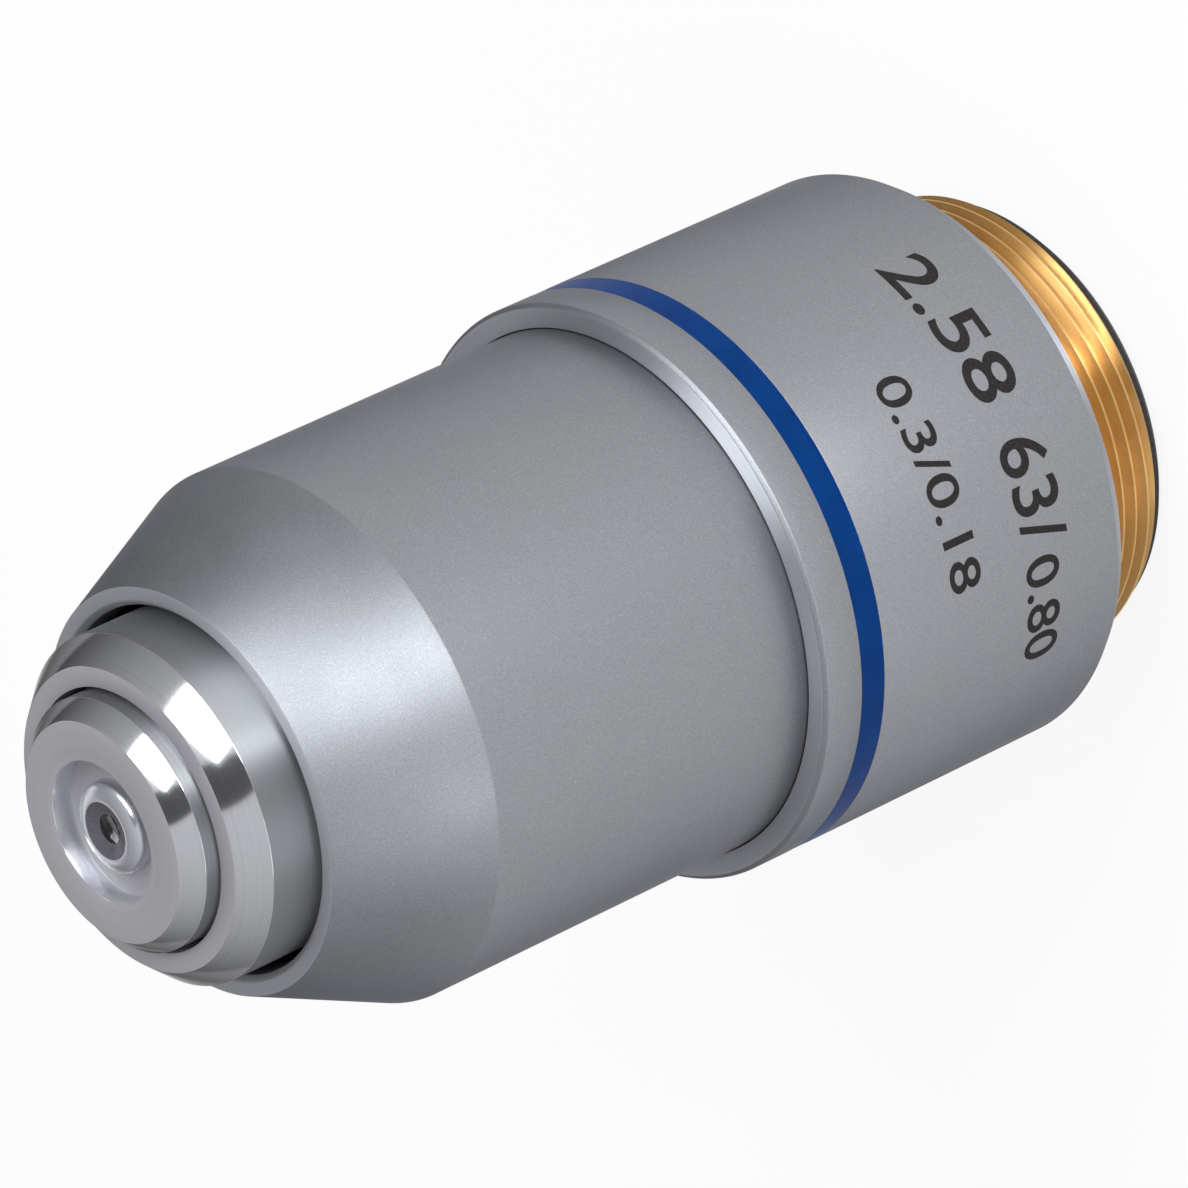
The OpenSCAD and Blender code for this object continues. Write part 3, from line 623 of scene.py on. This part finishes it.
rear_sleeve = spun([
    (FLANGE_FIT_R, REAR_SLEEVE_LOW), (SLEEVE_R - LOW_BEVEL_IN, REAR_SLEEVE_LOW),
    (SLEEVE_R, REAR_SLEEVE_LOW + LOW_BEVEL_UP),
    (SLEEVE_R, BAND_LOW), (SLEEVE_R - BAND_DEPTH, BAND_LOW),
    (SLEEVE_R - BAND_DEPTH, BAND_TOP), (SLEEVE_R, BAND_TOP),
    (SLEEVE_R, REAR_SLEEVE_TOP - TOP_BEVEL), (SLEEVE_R - TOP_BEVEL, REAR_SLEEVE_TOP),
    (SEAM_R + MOUTH_BEVEL, REAR_SLEEVE_TOP), (SEAM_R, REAR_SLEEVE_TOP - MOUTH_BEVEL),
    (SEAM_R, LEDGE_TOP), (TUBE_FIT_R, LEDGE_TOP), (TUBE_FIT_R, LEDGE_LOW),
    (FLANGE_FIT_R, LEDGE_LOW)])
paint_where(rear_sleeve, 1, lambda radius, height, slope: abs(slope) > 0.9)
paint_where(rear_sleeve, 2,
            lambda radius, height, slope: radius > SLEEVE_R - LOW_BEVEL_IN and -0.9 < slope < -0.3)
soften(rear_sleeve, 0.03)
finished("rear_sleeve_skin", rear_sleeve, "housing",
         [satin, turned_chrome, barrel_chrome], "rear_sleeve")

# %% [markdown]
# The colour band tells the power of the objective at a glance. It is a ring of its own that
# fills the groove and ends a hair below the metal, so that the groove's edges still catch light.

# %% Colour band, in its groove
BAND_BACK_R, BAND_FRONT_R = SLEEVE_R - BAND_DEPTH + 0.001, SLEEVE_R - 0.012
BAND_CLEARANCE = 0.002

band = spun([(BAND_BACK_R, BAND_LOW + BAND_CLEARANCE), (BAND_FRONT_R, BAND_LOW + BAND_CLEARANCE),
             (BAND_FRONT_R, BAND_TOP - BAND_CLEARANCE), (BAND_BACK_R, BAND_TOP - BAND_CLEARANCE)])
finished("blue_band", band, "housing", [enamel], "colour_band")

# %% [markdown]
# The front sleeve is one long cylinder that ends in a cone. A thin dark seam shows where it
# comes out of the rear sleeve. The flat nose face is turned, and the rest is blasted.

# %% Front sleeve
FRONT_R, CONE_LOW = 11.5, 38.86
NOSE_FACE, NOSE_FACE_R = 45.2, 8.72
NOSE_HOLE_R, NOSE_MOUTH = 7.87, 0.25
BRIGHT_DEPTH, BLACK_WITHIN = 1.6, 10
BUSH_R, BUSH_LOW, BUSH_TOP = 9.6, 33.8, 40.5

front_sleeve = spun([
    (TUBE_FIT_R, LEDGE_TOP), (FRONT_R, LEDGE_TOP), (FRONT_R, CONE_LOW),
    (NOSE_FACE_R, NOSE_FACE), (NOSE_HOLE_R + NOSE_MOUTH, NOSE_FACE),
    (NOSE_HOLE_R, NOSE_FACE - NOSE_MOUTH), (NOSE_HOLE_R, NOSE_FACE - BRIGHT_DEPTH),
    (NOSE_HOLE_R, BUSH_TOP), (BUSH_R, BUSH_TOP), (BUSH_R, BUSH_LOW), (TUBE_FIT_R, BUSH_LOW)])
paint_where(front_sleeve, 1, lambda radius, height, slope: slope > 0.6)
paint_where(front_sleeve, 2,
            lambda radius, height, slope: radius < BLACK_WITHIN and height < NOSE_FACE - BRIGHT_DEPTH)
soften(front_sleeve, 0.05)
finished("front_sleeve_skin", front_sleeve, "housing",
         [satin, land_chrome, matt_black], "front_sleeve")

# %% [markdown]
# The lens barrel slides in the nose when it is pushed in. Its stepped end shows as a ring with
# a polished bevel. Inside, a wide flange carries three keyways for the guide screws. The
# keyways are cut with a Boolean modifier, which is the plain way to cut what isn't round.

# %% Cut something away
def turn_round(mesh, azimuth):
    """Turns a mesh round the axis of the objective by degrees."""
    bmesh.ops.rotate(mesh, verts=mesh.verts, matrix=Matrix.Rotation(math.radians(azimuth), 3, "Z"))


def box_mesh(size, place, azimuth=0):
    """A box of a size in millimetres, at a place, turned round the axis by degrees."""
    mesh = bmesh.new()
    bmesh.ops.create_cube(mesh, size=1)
    bmesh.ops.scale(mesh, verts=mesh.verts, vec=Vector(size) * MM)
    bmesh.ops.translate(mesh, verts=mesh.verts, vec=Vector(place) * MM)
    turn_round(mesh, azimuth)
    return mesh


def cut_away(piece, cutter_mesh):
    """Takes one shape away from a piece for good, and throws the cutter away."""
    data = bpy.data.meshes.new("cutter")
    cutter_mesh.to_mesh(data)
    cutter_mesh.free()
    cutter = bpy.data.objects.new("cutter", data)
    bpy.context.scene.collection.objects.link(cutter)
    cut = piece.modifiers.new("cut", "BOOLEAN")
    cut.operation = "DIFFERENCE"
    cut.solver = "EXACT"
    cut.object = cutter
    bpy.context.view_layer.update()
    result = bpy.data.meshes.new_from_object(piece.evaluated_get(bpy.context.evaluated_depsgraph_get()))
    piece.modifiers.clear()
    piece.data = result
    bpy.data.objects.remove(cutter)

# %% Lens barrel
BARREL_R, BARREL_BORE_R, BARREL_LOW = 7.5, 6.3, 16.511
FLANGE_R, FLANGE_LOW, FLANGE_TOP = 9.25, 26.0, 30.5
RING_TOP, RING_SEAT = 48.32, 46.52
RING_FACE_R, RING_HOLE_R = 6.5, 5.64
RING_LOW = RING_TOP - 1.15
SCREW_AZIMUTHS = (0, 120, 240)
SCREW_HEIGHT = 27.15
KEYWAY_SIZE, KEYWAY_HEIGHT = (2.1, 1.2, 10), 28.25

barrel = spun([
    (BARREL_BORE_R, BARREL_LOW), (BARREL_R, BARREL_LOW), (BARREL_R, FLANGE_LOW),
    (FLANGE_R, FLANGE_LOW), (FLANGE_R, FLANGE_TOP), (BARREL_R, FLANGE_TOP),
    (BARREL_R, RING_LOW), (RING_FACE_R, RING_TOP), (RING_HOLE_R, RING_TOP),
    (RING_HOLE_R, RING_SEAT), (BARREL_BORE_R, RING_SEAT)])
paint_where(barrel, 1, lambda radius, height, slope: height < RING_LOW and radius < BARREL_BORE_R + 0.1)
paint_where(barrel, 3, lambda radius, height, slope: height > RING_LOW and slope > 0.9)
paint_where(barrel, 2, lambda radius, height, slope: height > RING_LOW and 0.3 < slope < 0.9)
soften(barrel, 0.02)
barrel_piece = finished("lens_barrel_skin", barrel, "optics",
                        [barrel_chrome, matt_black, bright_chrome, face_chrome], "lens_barrel")
for azimuth in SCREW_AZIMUTHS:
    cut_away(barrel_piece, box_mesh(KEYWAY_SIZE, (FLANGE_R, 0, KEYWAY_HEIGHT), azimuth))
print("cut", len(SCREW_AZIMUTHS), "keyways")

# %% [markdown]
# The front cell holds the first lens. Its face is turned matt, the bevel round it is polished,
# and the cup in its middle is rubbed smooth. The raised seat for the lens stands in that cup.

# %% Points along an arc
def arc(centre, radius, first, last, count):
    """Points (radius, height) on a circle round a point of the axis, between two angles in degrees."""
    angles = [math.radians(first + (last - first) * i / count) for i in range(count + 1)]
    return [(radius * math.sin(angle), centre + radius * math.cos(angle)) for angle in angles]

# %% Front cell
FACE_TOP, FACE_R = 49.7, 4.72
CELL_LOW, CELL_BORE_R, BORE_TOP = 44.72, 4.2, 47.253
CELL_FLANGE_R, CELL_R, CELL_BEVEL = 6.28, 5.43, 0.83
CUP_R, CUP_FLOOR, SEAT_R = 3.05, 48.73, 1.95
IN_CUP = CUP_FLOOR + 0.01
SEAT_DOME = [(1.95, 49.1), (1.93, 49.2), (1.86, 49.3), (1.75, 49.375), (1.6, 49.435), (1.42, 49.48)]
BALL_Z, BALL_R, CEMENT_GAP = 48.316, 1.7, 0.004
GLASS_Z = 49.5
rim_angle = math.degrees(math.acos((GLASS_Z - BALL_Z) / BALL_R))

front_cell = spun(
    [(CELL_BORE_R, CELL_LOW), (CELL_FLANGE_R, CELL_LOW), (CELL_FLANGE_R, RING_SEAT),
     (CELL_R, RING_SEAT), (CELL_R, FACE_TOP - CELL_BEVEL), (FACE_R, FACE_TOP),
     (CUP_R, FACE_TOP), (CUP_R, CUP_FLOOR), (SEAT_R, CUP_FLOOR)]
    + SEAT_DOME
    + arc(BALL_Z, BALL_R + CEMENT_GAP, rim_angle, 90, 10)
    + [(BALL_R + CEMENT_GAP, BORE_TOP), (CELL_BORE_R, BORE_TOP)])
paint_where(front_cell, 1, lambda radius, height, slope: radius > FACE_R and 0.3 < slope < 0.9)
paint_where(front_cell, 2, lambda radius, height, slope: radius < FACE_R and height < CUP_FLOOR - 0.1)
paint_where(front_cell, 3, lambda radius, height, slope: abs(radius - CUP_R) < 0.05 and height > IN_CUP)
paint_where(front_cell, 3, lambda radius, height, slope: radius < SEAT_R + 0.01 and height > IN_CUP)
paint_where(front_cell, 4, lambda radius, height, slope: radius > CELL_R - 0.1 and slope < 0.3)
soften(front_cell, 0.015)
finished("front_cell_skin", front_cell, "optics",
         [face_chrome, bright_chrome, matt_black, soft_chrome, barrel_chrome], "front_cell")

# %% [markdown]
# The front lens is more than half a ball, with a shallow hollow ground in its open face. It is
# clear in the middle only: its edge and the seat side carry the grey cement that holds it, and the
# outer ring of its open face is painted the same grey, which stands in for the dark seat seen
# through the glass.

# %% Front lens
HOLLOW_R = 2.6
CLEAR_R, EDGE_LOW = 0.6, 48.3
LENS_STEPS = 96
rim_r = BALL_R * math.sin(math.radians(rim_angle))
hollow_z = GLASS_Z + math.sqrt(HOLLOW_R ** 2 - rim_r ** 2)
hollow_angle = 180 - math.degrees(math.asin(rim_r / HOLLOW_R))


def is_cement_or_painted_ring(radius, height, slope):
    """All of the lens above its middle, other than the clear part of the open face. The seat side is
    cement, and the outer ring of the open face is painted grey for the seat seen through the glass.
    """
    return height > EDGE_LOW and not (slope > 0 and radius < CLEAR_R)


front_lens = spun(arc(BALL_Z, BALL_R, 180, rim_angle, 32)
                  + arc(hollow_z, HOLLOW_R, hollow_angle, 180, 10)[1:], steps=LENS_STEPS)
# The cement's grey also goes on the outer ring of the open face, painted there for the dark seat seen
# through the glass.
paint_where(front_lens, 1, is_cement_or_painted_ring)
finished("front_lens_glass", front_lens, "optics", [crown, cement_and_painted_ring], "front_lens")

# %% [markdown]
# The mount body carries the mounting thread. A thread is one tooth's outline carried up a
# screw: the same spin as before, but with a small lift at each step. Neighbouring turns meet
# and are merged. The turned body under it fills the thread from inside.

# %% Screw thread
THREAD_R, ROOT_R = 10.12, 9.668
PITCH = 0.7056
THREAD_LOW, THREAD_TOP = 0.75, 4.4
END_DEPTH = 0.1
THREAD_MERGE_MM = 0.0005
TURN_STEPS = 192
# Height of half a tooth over its root, as shares of the pitch and of the depth
HALF_TOOTH = [(0, 0), (0.07, 0.03), (0.12, 0.12), (0.38, 0.88), (0.43, 0.97), (0.5, 1)]


def thread_skin():
    """The outside of the thread, cut off flat at both ends and chamfered at the start."""
    tooth = HALF_TOOTH + [(1 - share, height) for share, height in HALF_TOOTH[-2::-1]]
    mesh = bmesh.new()
    low = THREAD_LOW - PITCH
    corners = [mesh.verts.new(((ROOT_R + (THREAD_R - ROOT_R) * height) * MM, 0,
                               (low + share * PITCH) * MM)) for share, height in tooth]
    sides = [mesh.edges.new(pair) for pair in zip(corners, corners[1:])]
    turns = math.ceil((THREAD_TOP - THREAD_LOW) / PITCH) + 2
    bmesh.ops.spin(mesh, geom=corners + sides, axis=(0, 0, 1), cent=(0, 0, 0),
                   dvec=(0, 0, PITCH * MM / TURN_STEPS), angle=math.tau * turns,
                   steps=TURN_STEPS * turns, use_merge=False)
    bmesh.ops.remove_doubles(mesh, verts=mesh.verts, dist=THREAD_MERGE_MM * MM)
    for height, side in ((THREAD_LOW, -1), (THREAD_TOP, 1)):
        everything = mesh.verts[:] + mesh.edges[:] + mesh.faces[:]
        bmesh.ops.bisect_plane(mesh, geom=everything, plane_co=(0, 0, height * MM),
                               plane_no=(0, 0, side), clear_outer=True)
    return mesh


def chamfer_start(mesh):
    """Pulls the first turn in to the cone of the lead chamfer."""
    for vert in mesh.verts:
        limit = (ROOT_R + vert.co.z / MM - THREAD_LOW) * MM
        radius = math.hypot(vert.co.x, vert.co.y)
        if radius > limit:
            vert.co.x *= limit / radius
            vert.co.y *= limit / radius


def close_ends(mesh):
    """Carries the open rims inwards, into the body under the thread."""
    rims = [edge for edge in mesh.edges if edge.is_boundary]
    grown = bmesh.ops.extrude_edge_only(mesh, edges=rims)["geom"]
    for vert in (part for part in grown if isinstance(part, bmesh.types.BMVert)):
        shrink = (ROOT_R - END_DEPTH) * MM / math.hypot(vert.co.x, vert.co.y)
        vert.co.x *= shrink
        vert.co.y *= shrink


thread = thread_skin()
chamfer_start(thread)
close_ends(thread)
bmesh.ops.recalc_face_normals(thread, faces=thread.faces)
finished("mount_thread", thread, "housing", [brass])

# %% [markdown]
# The mount body is one brass tube. It fills the thread, carries the shoulder that the objective
# hangs from, and reaches up inside both sleeves. Three holes in its wall take the guide screws.

# %% Mount body
CORE_R, RELIEF_R = ROOT_R - 0.01, 9.618
SHOULDER_Z, UNDERCUT_TOP, SHOULDER_IN_R = 5.0, 5.1, 10.32
MOUNT_FLANGE_R, TUBE_R, TUBE_BORE_R, TUBE_TOP = 11.45, 10.6, 9.3, 33.2
SPRING_SEAT, LIGHT_BORE_R = 13.211, 7.9
SKIRT_FIT_R, SKIRT_TOP = 8.718, 3.0
SCREW_R, SCREW_LENGTH, SCREW_MIDDLE_R = 0.8, 4, 10

mount = spun([
    (SKIRT_FIT_R, THREAD_LOW), (CORE_R, THREAD_LOW), (CORE_R, THREAD_TOP),
    (RELIEF_R, THREAD_TOP), (RELIEF_R, UNDERCUT_TOP), (SHOULDER_IN_R, UNDERCUT_TOP),
    (SHOULDER_IN_R, SHOULDER_Z), (MOUNT_FLANGE_R, SHOULDER_Z), (MOUNT_FLANGE_R, LEDGE_LOW),
    (TUBE_R, LEDGE_LOW), (TUBE_R, TUBE_TOP), (TUBE_BORE_R, TUBE_TOP), (TUBE_BORE_R, SPRING_SEAT),
    (LIGHT_BORE_R, SPRING_SEAT), (LIGHT_BORE_R, SKIRT_TOP), (SKIRT_FIT_R, SKIRT_TOP)])
soften(mount, 0.02)
mount_piece = finished("mount_body_skin", mount, "housing", [brass], "mount_body")
for azimuth in SCREW_AZIMUTHS:
    hole = bmesh.new()
    bmesh.ops.create_cone(hole, cap_ends=True, segments=32, radius1=SCREW_R * MM,
                          radius2=SCREW_R * MM, depth=SCREW_LENGTH * MM,
                          matrix=Matrix.Rotation(math.pi / 2, 4, "Y"))
    bmesh.ops.translate(hole, verts=hole.verts, vec=Vector((SCREW_MIDDLE_R, 0, SCREW_HEIGHT)) * MM)
    turn_round(hole, azimuth)
    cut_away(mount_piece, hole)
print("cut", len(SCREW_AZIMUTHS), "screw holes")

# %% [markdown]
# The end ring is the objective's foot. Its skirt screws into the brass, and the slot across its
# face is for the tool that does it. The slot is cut from the spun ring with one long box.

# %% End ring
END_BORE_R, END_FOOT_R, END_R, END_SKIRT_R = 7.198, 9.15, 9.648, 8.698
END_BEVEL, END_TOP = 0.5, 0.748
SLOT_SIZE = (22, 0.9, 1.0)

end_ring = spun([
    (END_BORE_R, 0), (END_FOOT_R, 0), (END_R, END_BEVEL), (END_R, END_TOP),
    (END_SKIRT_R, END_TOP), (END_SKIRT_R, SKIRT_TOP), (END_BORE_R, SKIRT_TOP)])
soften(end_ring, 0.02)
end_piece = finished("end_ring_skin", end_ring, "housing", [matt_black], "end_ring")
cut_away(end_piece, box_mesh(SLOT_SIZE, (0, 0, 0)))

# %% [markdown]
# The markings are plain numerals. They are set as text, made a mesh, and then bent round the
# sleeve. Before it is bent, a mesh is cut into narrow strips, because a long flat face would
# dive under the round metal. They read with the thread up, as the objective hangs in use.

# %% Set a row of numerals
STRIP = 0.25
# How much fatter the strokes are than the typeface's own, for letters of size 1
STROKE = 0.009
PAINT_R = SLEEVE_R + 0.007


def text_mesh(words):
    """A flat mesh of the words, as the typeface draws them."""
    curve = bpy.data.curves.new("words", "FONT")
    curve.body = words
    curve.offset = STROKE
    holder = bpy.data.objects.new("words", curve)
    bpy.context.scene.collection.objects.link(holder)
    bpy.context.view_layer.update()
    data = bpy.data.meshes.new_from_object(holder.evaluated_get(bpy.context.evaluated_depsgraph_get()))
    bpy.data.objects.remove(holder)
    mesh = bmesh.new()
    mesh.from_mesh(data)
    bpy.data.meshes.remove(data)
    return mesh


def fit_text(mesh, width, height):
    """Moves the words' lower left corner to the origin, and scales them to a width and height."""
    xs = [vert.co.x for vert in mesh.verts]
    ys = [vert.co.y for vert in mesh.verts]
    bmesh.ops.translate(mesh, verts=mesh.verts, vec=(-min(xs), -min(ys), 0))
    bmesh.ops.scale(mesh, verts=mesh.verts,
                    vec=(width / (max(xs) - min(xs)), height / (max(ys) - min(ys)), 1))


def wrap(mesh, start, baseline):
    """Bends the flat words round the sleeve, from a start angle, with their feet at a height."""
    for vert in mesh.verts:
        angle = math.radians(start) - vert.co.x / PAINT_R
        vert.co = Vector((PAINT_R * math.sin(angle), -PAINT_R * math.cos(angle),
                          baseline - vert.co.y)) * MM


def numerals(name, words, start, end, baseline, height):
    """One group of numerals between two angles on the sleeve, in degrees from the camera's side."""
    width = math.radians(start - end) * PAINT_R
    mesh = text_mesh(words)
    fit_text(mesh, width, height)
    for strip in range(1, math.ceil(width / STRIP)):
        everything = mesh.verts[:] + mesh.edges[:] + mesh.faces[:]
        bmesh.ops.bisect_plane(mesh, geom=everything, plane_co=(strip * STRIP, 0, 0),
                               plane_no=(1, 0, 0))
    wrap(mesh, start, baseline)
    finished(name, mesh, "housing", [marking])

# %% The markings
TALL, MIDDLE, LOW = 2.5, 1.85, 1.7
numerals("numerals_focus", "2.58", start=37.0, end=3.0, baseline=10.85, height=TALL)
numerals("numerals_power", "63/", start=-4.8, end=-25.5, baseline=10.95, height=TALL)
numerals("numerals_aperture", "0.80", start=-28.0, end=-50.0, baseline=10.95, height=MIDDLE)
numerals("numerals_glass", "0.3/0.18", start=15.5, end=-27.8, baseline=15.05, height=LOW)

# %% [markdown]
# The coil spring behind the lens barrel pushes the nose out. It is a round wire carried up a
# screw, with a closed turn at each end, so three spins follow one another and each starts from
# the last ring of the one before. It stands on the washer, and the mesh shows it at rest.

# %% Coil spring
WIRE_R, WIRE_SIDES, COIL_R = 0.35, 12, 8.35
SPRING_LOW, SPRING_TOP = 13.7111, 25.95
COIL_STEPS = 48
CLOSED_PITCH = 0.742
OPEN_TURNS = 5.5
OPEN_PITCH = (SPRING_TOP - SPRING_LOW - 2 * WIRE_R - 2 * CLOSED_PITCH) / OPEN_TURNS

spring = bmesh.new()
foot = Matrix.Translation(Vector((COIL_R, 0, SPRING_LOW + WIRE_R)) * MM)
upright = Matrix.Rotation(math.pi / 2, 4, "X")
bmesh.ops.create_circle(spring, segments=WIRE_SIDES, radius=WIRE_R * MM, matrix=foot @ upright)
wire_end = spring.verts[:] + spring.edges[:]
for turns, pitch in ((1, CLOSED_PITCH), (OPEN_TURNS, OPEN_PITCH), (1, CLOSED_PITCH)):
    wire_end = bmesh.ops.spin(spring, geom=wire_end, axis=(0, 0, 1), cent=(0, 0, 0),
                              dvec=(0, 0, pitch * MM / COIL_STEPS), angle=math.tau * turns,
                              steps=round(turns * COIL_STEPS))["geom_last"]
wire_rims = [edge for edge in spring.edges if edge.is_boundary]
bmesh.ops.holes_fill(spring, edges=wire_rims, sides=WIRE_SIDES)
bmesh.ops.recalc_face_normals(spring, faces=spring.faces)
spring_piece = finished("coil_spring_wire", spring, "housing", [steel], "coil_spring")
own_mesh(spring_piece)

# %% [markdown]
# What else is inside keeps its CAD shape and gets the finish of its metal or glass. The lenses
# are clear crown and flint, the cells that hold them are brass, and whatever could throw a
# stray reflection into the picture is black.

# %% Finishes for the inner parts
INNER = {
    "guide_bush": matt_black, "parfocal_ring": brass, "guide_screws": steel,
    "spring_washer": steel, "meniscus_cell": matt_black,
    "meniscus_lens": crown, "doublet_cell": brass, "doublet_crown": crown,
    "doublet_flint": flint, "spacer_ring": matt_black, "triplet_cell": brass,
    "triplet_front": crown, "triplet_middle": flint, "triplet_rear": crown,
    "triplet_retainer": matt_black, "aperture_stop": matt_black, "spacer_tube": matt_black,
    "rear_cell": brass, "rear_crown": crown, "rear_flint": flint,
    "rear_retainer": matt_black, "barrel_lock_ring": matt_black}
for name, material in INNER.items():
    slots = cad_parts[name].data.materials
    slots.clear()
    slots.append(material)
print("finished", len(INNER), "inner parts")
